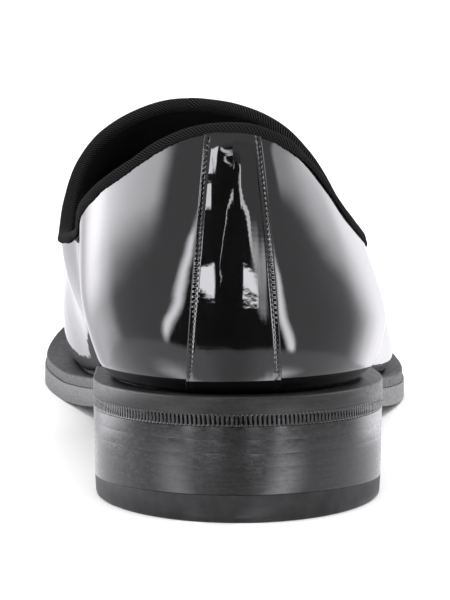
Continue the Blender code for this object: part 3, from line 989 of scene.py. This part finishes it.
def heel_piece(name, finishes, levels, replaces):
    """A lift of the heel through levels of (inset, height behind, fall)."""
    rings = [heel_ring(*level) for level in levels]
    rings = [middle_ring(rings[0])] + rings + [middle_ring(rings[-1])]
    piece(sheet(columns_of(rings)), name, finishes, replaces)


def make_heel():
    rand_top = SEAT_BACK - TOUCH
    rand_low = SEAT_BACK - RAND_HEIGHT - 2 * GAP
    levels = []
    for inset, drop in reversed(round_edge(LIFT_LOW_EDGE, 3)):
        levels.append((HEEL_TAPER + inset, drop, 0.0))
    for inset, drop in round_edge(LIFT_TOP_EDGE, 3):
        levels.append((LIFT_INSET + inset, TOP_LIFT_BACK - drop, TOP_LIFT_FALL))
    heel_piece("top_lift_rubber", [lift_rubber()], levels, "top_lift")
    make_block(rand_low - TOUCH)
    make_rand(rand_low, rand_top)


def make_block(block_top):
    """Stack of leather lifts, with a fine groove where one meets the next."""
    bottom = TOP_LIFT_BACK + TOUCH
    levels = []
    for lift in range(HEEL_LIFTS):
        for share, groove in LIFT_GROOVES:
            s = (lift + share) / HEEL_LIFTS
            height = bottom + (block_top - bottom) * s
            fall = TOP_LIFT_FALL + (SEAT_FALL - TOP_LIFT_FALL) * s
            levels.append((LIFT_INSET - STACK_SPREAD * s + groove, height, fall))
    levels.append((STACK_TOP_INSET, block_top, SEAT_FALL))
    heel_piece("heel_lifts", [heel_leather()], levels, "heel_block")


def make_rand(low, high):
    """Band under the seat with slanted marks of a wheel round it, with painted shade in the marks: a
    darker, rougher finish.
    """
    outline = np.array(heel_ring(RAND_INSET, 0.0, SEAT_FALL, RAND_STEPS))
    run = lengths(outline)
    shares = np.linspace(0.0, 1.0, NOTCH_ROWS + 1)
    count = int(run[-1] / NOTCH_PITCH) * NOTCH_STEPS

    def mark(s, y, share):
        """Depth of the marks, from nothing to one, at a distance round and a share up the band."""
        if y >= NOTCH_END_Y:
            return 0.0
        phase = (s + NOTCH_SLANT * (share - 0.5) * (high - low)) / NOTCH_PITCH
        window = min(1.0, max(0.0, min(share, 1 - share) * NOTCH_FADE - 0.5))
        return max(0.0, math.cos(2 * math.pi * phase)) ** NOTCH_SHARPNESS * window

    columns = []
    for s in np.linspace(0.0, run[-1], count + 1):
        here, ahead = at_lengths(outline, [s, (s + 0.4) % run[-1]])
        way = (ahead - here) / np.linalg.norm(ahead - here)
        out = np.array([way[1], -way[0], 0.0])
        column = [here - out * RAND_DEPTH + (0.0, 0.0, low)]
        for share in shares:
            depth = NOTCH_DEPTH * mark(s, here[1], share)
            column.append(here - out * depth + (0.0, 0.0, low + (high - low) * share))
        column.append(here - out * RAND_DEPTH + (0.0, 0.0, high))
        column.append(column[0])
        columns.append(column)
    columns[-1] = columns[0]
    bm = sheet(np.array(columns))
    uv = bm.loops.layers.uv["UVMap"]
    for face in bm.faces:
        u, v = sum((loop[uv].uv for loop in face.loops), Vector((0.0, 0.0))) / len(face.loops)
        share = (v * (len(columns[0]) - 1) - 1) / NOTCH_ROWS
        y = face.calc_center_median().y / MM
        # Faces deep in a mark take the darker finish, which is painted shade in the groove.
        if 0 < share < 1 and mark(u * run[-1], y, share) > NOTCH_SHADE_FROM:
            face.material_index = 1
    piece(bm, "heel_rand_band", [rand_leather(), mark_shade_leather()], "heel_rand")


# Finishes.


def node(tree, kind, inputs=None, **settings):
    """A node with its settings, its inputs given as values or as sockets to link."""
    made = tree.nodes.new(kind)
    for key, value in settings.items():
        setattr(made, key, value)
    for key, value in (inputs or {}).items():
        if isinstance(value, bpy.types.NodeSocket):
            tree.links.new(value, made.inputs[key])
        else:
            made.inputs[key].default_value = value
    return made


def maths(tree, operation, *values):
    return node(tree, "ShaderNodeMath", dict(enumerate(values)), operation=operation).outputs["Value"]


def value_mix(tree, share, low, high):
    return node(tree, "ShaderNodeMix", {0: share, 2: low, 3: high}, data_type="FLOAT").outputs[0]


def colour_mix(tree, share, low, high):
    return node(tree, "ShaderNodeMix", {0: share, 6: low, 7: high}, data_type="RGBA").outputs[2]


def finish_named(name, **sockets):
    """A new material with some sockets set, as (material, tree, shader, object coordinates)."""
    made = bpy.data.materials.new(name)
    made.use_nodes = True
    tree = made.node_tree
    shader = tree.nodes["Principled BSDF"]
    for key, value in sockets.items():
        shader.inputs[key.replace("_", " ").title().replace("Ior", "IOR")].default_value = value
    place = node(tree, "ShaderNodeTexCoord").outputs["Object"]
    return made, tree, shader, place


def stretched(tree, place, scale, turn=(0.0, 0.0, 0.0)):
    return node(
        tree, "ShaderNodeMapping", {"Vector": place, "Scale": scale, "Rotation": turn}
    ).outputs["Vector"]


def speckle(tree, place, scale, detail=3.0):
    return node(
        tree,
        "ShaderNodeTexNoise",
        {"Vector": place, "Scale": scale, "Detail": detail, "Roughness": 0.55},
    ).outputs["Fac"]


def between(tree, fac, low, high, start=0.3, end=0.7):
    """A value between two ends, following a texture."""
    return node(
        tree,
        "ShaderNodeMapRange",
        {"Value": fac, "From Min": start, "From Max": end, "To Min": low, "To Max": high},
    ).outputs["Result"]


def grey(value, blue=None):
    """A grey, or a grey with its own blue."""
    return value, value, value if blue is None else blue, 1.0


def shade(tree, shader, fac, low, high, start=0.3, end=0.7):
    """Base colour between two colours, following a texture."""
    share = between(tree, fac, 0.0, 1.0, start, end)
    tree.links.new(colour_mix(tree, share, low, high), shader.inputs["Base Color"])


def bumps(tree, shader, layers, coat=False):
    """Bump layers of (height, strength, distance in millimetres), one over another."""
    below = None
    for height, strength, depth in layers:
        inputs = {"Height": height, "Strength": strength, "Distance": depth * MM}
        if below:
            inputs["Normal"] = below
        below = node(tree, "ShaderNodeBump", inputs).outputs["Normal"]
    tree.links.new(below, shader.inputs["Normal"])
    if coat:
        tree.links.new(below, shader.inputs["Coat Normal"])


def gloss_finish(name, wave_depth):
    """Black patent: soft black leather under a thick clear film."""
    made, tree, shader, place = finish_named(
        name,
        roughness=0.35,
        specular_ior_level=0.02,
        coat_weight=1.0,
        coat_roughness=0.02,
        coat_ior=1.55,
    )
    shade(tree, shader, speckle(tree, place, 160.0), grey(0.0007, 0.0008), grey(0.0018, 0.002))
    waves = speckle(tree, place, 55.0, 2.0)
    grain = speckle(tree, place, 700.0, 2.0)
    bumps(tree, shader, [(waves, 1.0, wave_depth), (grain, 1.0, 0.003)], coat=True)
    return made


def patent_leather():
    return gloss_finish("patent_leather", 0.12)


def strip_leather():
    return gloss_finish("patent_strip", 0.2)


def lining_leather():
    made, tree, shader, place = finish_named(
        "lining_leather", roughness=0.75, specular_ior_level=0.25
    )
    pores = node(
        tree, "ShaderNodeTexVoronoi", {"Vector": place, "Scale": 750.0}
    ).outputs["Distance"]
    shade(tree, shader, speckle(tree, place, 90.0), grey(0.002), grey(0.005))
    bumps(tree, shader, [(pores, 0.5, 0.12)])
    return made


def twill_ribbon():
    """Black ribbon with fine slanted ribs along the fold."""
    made, tree, shader, _ = finish_named("twill_ribbon", roughness=0.95, specular_ior_level=0.03)
    uv = node(tree, "ShaderNodeUVMap", uv_map="UVMap").outputs["UV"]
    flat = stretched(tree, uv, (290.0, 15.0, 1.0))
    slant = stretched(tree, flat, (1.0, 1.0, 1.0), (0.0, 0.0, math.radians(35.0)))
    ribs = node(
        tree,
        "ShaderNodeTexWave",
        {"Vector": slant, "Scale": 0.6, "Distortion": 0.6, "Detail": 1.0, "Detail Scale": 1.5},
        wave_type="BANDS",
        bands_direction="X",
    ).outputs["Fac"]
    shade(tree, shader, ribs, grey(0.001), grey(0.024, 0.0245), 0.25, 0.85)
    bumps(tree, shader, [(ribs, 0.8, 0.12)])
    return made


def waxed_thread():
    made, tree, shader, place = finish_named("waxed_thread", roughness=0.8, specular_ior_level=0.1)
    shade(tree, shader, speckle(tree, place, 2500.0), grey(0.001), grey(0.003))
    bumps(tree, shader, [(speckle(tree, place, 3500.0), 0.6, 0.05)])
    return made


def edge_leather(name, dark, light, roughness, gloss, streak):
    """Inked and waxed leather edge, with long streaks and a fine grain along it."""
    made, tree, shader, place = finish_named(name, roughness=roughness, specular_ior_level=gloss)
    long = speckle(tree, stretched(tree, place, streak), 1.0, 4.0)
    fine = speckle(tree, stretched(tree, place, (700.0, 700.0, 1600.0)), 1.0, 4.0)
    shade(tree, shader, maths(tree, "MULTIPLY", long, fine), dark, light, 0.12, 0.4)
    uneven = between(tree, fine, roughness - 0.08, roughness + 0.1)
    tree.links.new(uneven, shader.inputs["Roughness"])
    bumps(tree, shader, [(long, 0.25, 0.012), (fine, 0.5, 0.025)])
    return made


def sole_leather():
    streak = (120.0, 120.0, 1800.0)
    return edge_leather("sole_leather", grey(0.008), grey(0.022, 0.0225), 0.42, 0.24, streak)


def welt_leather():
    streak = (150.0, 150.0, 1500.0)
    return edge_leather("welt_leather", grey(0.002), grey(0.006), 0.5, 0.2, streak)


def heel_leather():
    streak = (90.0, 90.0, 2200.0)
    return edge_leather("heel_leather", grey(0.001), grey(0.012, 0.0124), 0.2, 0.45, streak)


def rand_leather():
    streak = (700.0, 700.0, 500.0)
    return edge_leather("rand_leather", grey(0.002), grey(0.009), 0.3, 0.5, streak)


# The rand leather made darker and rougher: painted shade for the wheel marks.
def mark_shade_leather():
    streak = (700.0, 700.0, 500.0)
    return edge_leather("mark_shade_leather", grey(0.001), grey(0.004), 0.85, 0.15, streak)


def lift_rubber():
    made, tree, shader, place = finish_named("lift_rubber", roughness=0.55, specular_ior_level=0.15)
    shade(tree, shader, speckle(tree, place, 220.0), grey(0.014, 0.0145), grey(0.028, 0.029))
    bumps(tree, shader, [(speckle(tree, place, 1800.0), 0.5, 0.06)])
    return made


# Stage: floor, light and camera.

# Camera: place in metres, degrees it looks down, lens and sensor in millimetres.
CAMERA_PLACE = (0.00095, -0.8578, 0.1347)
CAMERA_DOWN = 6.75
LENS = 192.0
SENSOR = 36.0

# Brightness of the white room, and brightness and tint of the studio that the gloss mirrors.
ROOM_LIGHT = 1.1
STUDIO_DIM = 0.82
STUDIO_TINT = (1.0, 0.985, 1.03, 1.0)

# Soft box overhead: its middle and the length of its sides in metres, and its brightness.
TOP_BOX_PLACE = (0.0, 0.1, 2.2)
TOP_BOX_SIZE = 1.6
TOP_BOX_LIGHT = 5.0

# Half the length of the floor's sides in metres.
FLOOR_HALF = 9.0

# What the gloss mirrors of the studio: soft-edged panels, each laid over those before it. Angles are
# in degrees. A bearing counts from straight behind the heel, positive to the right, and a level from
# the horizon. The lean is the rise of a panel's level for each degree of bearing.
Panel = namedtuple("Panel", "name bright bearing half_width soft_side level half_height soft_level lean")
PANELS = (
    Panel("floor", 1.3, 0.0, 200.0, 1.0, -50.0, 28.0, 4.0, 0.0),
    Panel("left_low_screen", 2.6, -150.0, 38.0, 8.0, -10.0, 11.0, 4.0, 0.0),
    Panel("left_screen", 6.8, -125.0, 57.0, 8.0, 11.6, 17.0, 6.0, 0.17),
    Panel("left_far", 0.95, -185.0, 42.0, 18.0, 0.0, 25.0, 5.0, 0.0),
    Panel("right_band", 4.0, 98.0, 38.0, 5.0, 23.0, 14.2, 3.5, -0.06),
    Panel("right_screen", 2.9, 157.0, 33.0, 14.0, 0.0, 21.0, 5.0, 0.0),
    Panel("right_far", 1.5, 185.0, 30.0, 14.0, 0.0, 25.0, 5.0, 0.0),
    Panel("left_back", 1.2, -180.0, 12.0, 10.0, 0.0, 40.0, 20.0, 0.0),
    Panel("right_back", 1.2, 180.0, 12.0, 10.0, 0.0, 40.0, 20.0, 0.0),
    Panel("left_dark", 0.06, -46.0, 13.0, 2.0, -13.0, 7.0, 1.5, 0.6),
    Panel("left_streak", 12.0, -49.5, 13.0, 4.0, -7.4, 2.4, 2.3, 0.7),
    Panel("right_dark", 0.06, 43.0, 6.0, 2.0, -17.0, 5.0, 2.0, -0.6),
    Panel("right_streak", 12.0, 48.0, 9.0, 2.5, -12.0, 3.2, 3.0, -0.9),
    Panel("middle_dark", 0.05, 0.0, 35.0, 1.5, 1.0, 19.5, 2.5, 0.0),
    Panel("right_grey", 0.7, 19.5, 9.5, 1.5, 14.0, 13.0, 1.5, -0.9),
    Panel("left_pane", 12.0, -26.0, 6.0, 1.0, 18.0, 3.8, 0.6, 0.0),
    Panel("left_pane_low", 12.0, -27.0, 5.0, 1.0, 8.5, 3.2, 0.6, 0.0),
    Panel("top_crease", 8.0, -10.0, 5.0, 1.0, 18.5, 0.9, 0.4, -0.33),
    Panel("left_window", 14.0, -25.5, 8.5, 0.8, -5.1, 0.95, 0.25, 0.0),
    Panel("right_window", 14.0, 15.5, 6.5, 0.8, -5.3, 1.1, 0.25, -0.05),
    Panel("right_line", 9.0, 8.5, 1.0, 0.5, 12.0, 6.0, 1.0, 0.0),
    Panel("right_line_low", 9.0, 14.5, 5.5, 0.5, 3.2, 1.9, 0.9, -1.1),
    Panel("right_glow", 5.0, 22.5, 4.5, 3.0, -3.0, 3.2, 2.5, -0.4),
    Panel("middle_line", 9.0, -7.0, 3.2, 0.3, 3.0, 0.6, 0.5, 2.3),
)

# White paper on the floor round the heel, as the gloss mirrors it: the bearing and the distance in
# millimetres from the middle of the heel's back.
PAPER_MIDDLE = (0.0, -0.145, 0.0012)
PAPER_LIGHT = 1.3
PAPER_REACH = 122.0
PAPER_SOFT = 10.0
PAPER_PANELS = (
    Panel("left_glow", 4.4, -71.0, 13.0, 14.0, 0.0, 86.0, 12.0, 0.0),
    Panel("right_glow", 6.0, 58.0, 12.0, 14.0, 0.0, 86.0, 12.0, 0.0),
    Panel("heel_shadow", 0.8, 2.0, 22.0, 16.0, 0.0, 400.0, 1.0, 0.0),
)


def within(tree, value, half, soft):
    """One within half of zero, either way, and nothing past it, with a soft edge."""
    return node(
        tree,
        "ShaderNodeMapRange",
        {
            "Value": maths(tree, "ABSOLUTE", value),
            "From Min": half - soft,
            "From Max": half + soft,
            "To Min": 1.0,
            "To Max": 0.0,
        },
        interpolation_type="SMOOTHSTEP",
    ).outputs["Result"]


def layered(tree, bearing, level, light, panels):
    """Brightness at a bearing and a level, with each panel laid over what is behind it."""
    for panel in panels:
        across = maths(tree, "SUBTRACT", bearing, panel.bearing)
        leaning = maths(tree, "MULTIPLY_ADD", across, panel.lean, panel.level)
        above = maths(tree, "SUBTRACT", level, leaning)
        share = maths(
            tree,
            "MULTIPLY",
            within(tree, across, panel.half_width, panel.soft_side),
            within(tree, above, panel.half_height, panel.soft_level),
        )
        light = value_mix(tree, share, light, panel.bright)
    return light


def bearing_of(tree, x, y):
    behind = maths(tree, "MULTIPLY", y, -1.0)
    return maths(tree, "DEGREES", maths(tree, "ARCTAN2", x, behind))


def mirrored_studio(tree):
    """Brightness of the studio in each direction."""
    way = node(tree, "ShaderNodeTexCoord").outputs["Generated"]
    x, y, z = node(tree, "ShaderNodeSeparateXYZ", {"Vector": way}).outputs
    level = maths(tree, "DEGREES", maths(tree, "ARCSINE", z))
    return layered(tree, bearing_of(tree, x, y), level, STUDIO_DIM, PANELS)


def stage_piece(bm, name, finish, unseen_by):
    """The mesh as a part of the stage, which some kinds of rays pass through."""
    mesh = bpy.data.meshes.new(name)
    bm.to_mesh(mesh)
    bm.free()
    mesh.materials.append(finish)
    made = bpy.data.objects.new(name, mesh)
    bpy.context.scene.collection.objects.link(made)
    for rays in unseen_by:
        setattr(made, "visible_" + rays, False)


def make_floor():
    bm = bmesh.new()
    bmesh.ops.create_grid(bm, x_segments=8, y_segments=8, size=FLOOR_HALF)
    made, tree, shader, place = finish_named("floor_white", roughness=0.6)
    shade(tree, shader, speckle(tree, place, 3.0), grey(0.93), grey(0.95))
    stage_piece(bm, "floor", made, ["glossy"])


def make_paper():
    """Paper round the heel that shows only in the gloss."""
    bm = bmesh.new()
    reach = (PAPER_REACH + PAPER_SOFT) * MM
    bmesh.ops.create_circle(bm, cap_ends=True, radius=reach, segments=64)
    bmesh.ops.translate(bm, verts=bm.verts, vec=PAPER_MIDDLE)
    stage_piece(bm, "paper", paper_light(), ["camera", "diffuse", "shadow"])


def paper_light():
    """Glow of the paper by bearing and distance from the heel, fading out at its rim."""
    made, tree, shader, place = finish_named(
        "paper_light",
        base_color=grey(0.0),
        roughness=0.9,
        specular_ior_level=0.0,
        emission_color=STUDIO_TINT,
    )
    from_heel = node(
        tree, "ShaderNodeVectorMath", {0: place, 1: PAPER_MIDDLE}, operation="SUBTRACT"
    ).outputs["Vector"]
    x, y, _ = node(tree, "ShaderNodeSeparateXYZ", {"Vector": from_heel}).outputs
    length = node(tree, "ShaderNodeVectorMath", {0: from_heel}, operation="LENGTH").outputs["Value"]
    distance = maths(tree, "DIVIDE", length, MM)
    light = layered(tree, bearing_of(tree, x, y), distance, PAPER_LIGHT, PAPER_PANELS)
    tree.links.new(light, shader.inputs["Emission Strength"])
    tree.links.new(within(tree, distance, PAPER_REACH, PAPER_SOFT), shader.inputs["Alpha"])
    return made


def make_light():
    """White room, with the studio in its place for the gloss, and a soft box overhead."""
    world = bpy.data.worlds.new("white_room")
    world.use_nodes = True
    tree = world.node_tree
    room = tree.nodes["Background"]
    mirrored = node(tree, "ShaderNodeLightPath").outputs["Is Glossy Ray"]
    tree.links.new(colour_mix(tree, mirrored, grey(1.0), STUDIO_TINT), room.inputs["Color"])
    light = value_mix(tree, mirrored, ROOM_LIGHT, mirrored_studio(tree))
    tree.links.new(light, room.inputs["Strength"])
    bpy.context.scene.world = world
    lamp = bpy.data.lights.new("top_box", "AREA")
    lamp.size = TOP_BOX_SIZE
    lamp.energy = TOP_BOX_LIGHT * math.pi * TOP_BOX_SIZE**2
    box = bpy.data.objects.new("top_box", lamp)
    box.location = TOP_BOX_PLACE
    bpy.context.scene.collection.objects.link(box)


def make_camera():
    lens = bpy.data.cameras.new("camera")
    lens.lens = LENS
    lens.sensor_width = SENSOR
    camera = bpy.data.objects.new("camera", lens)
    camera.location = CAMERA_PLACE
    camera.rotation_euler = (math.radians(90.0 - CAMERA_DOWN), 0.0, 0.0)
    bpy.context.scene.collection.objects.link(camera)
    bpy.context.scene.camera = camera


lining = lining_leather()
outside, topline = make_upper(lining)
make_binding(topline)
make_backstay(BackstayGround(outside))
make_outsole()
make_insole(lining)
make_welt()
make_heel()
make_floor()
make_paper()
make_light()
make_camera()
bpy.context.scene.view_settings.view_transform = "Standard"
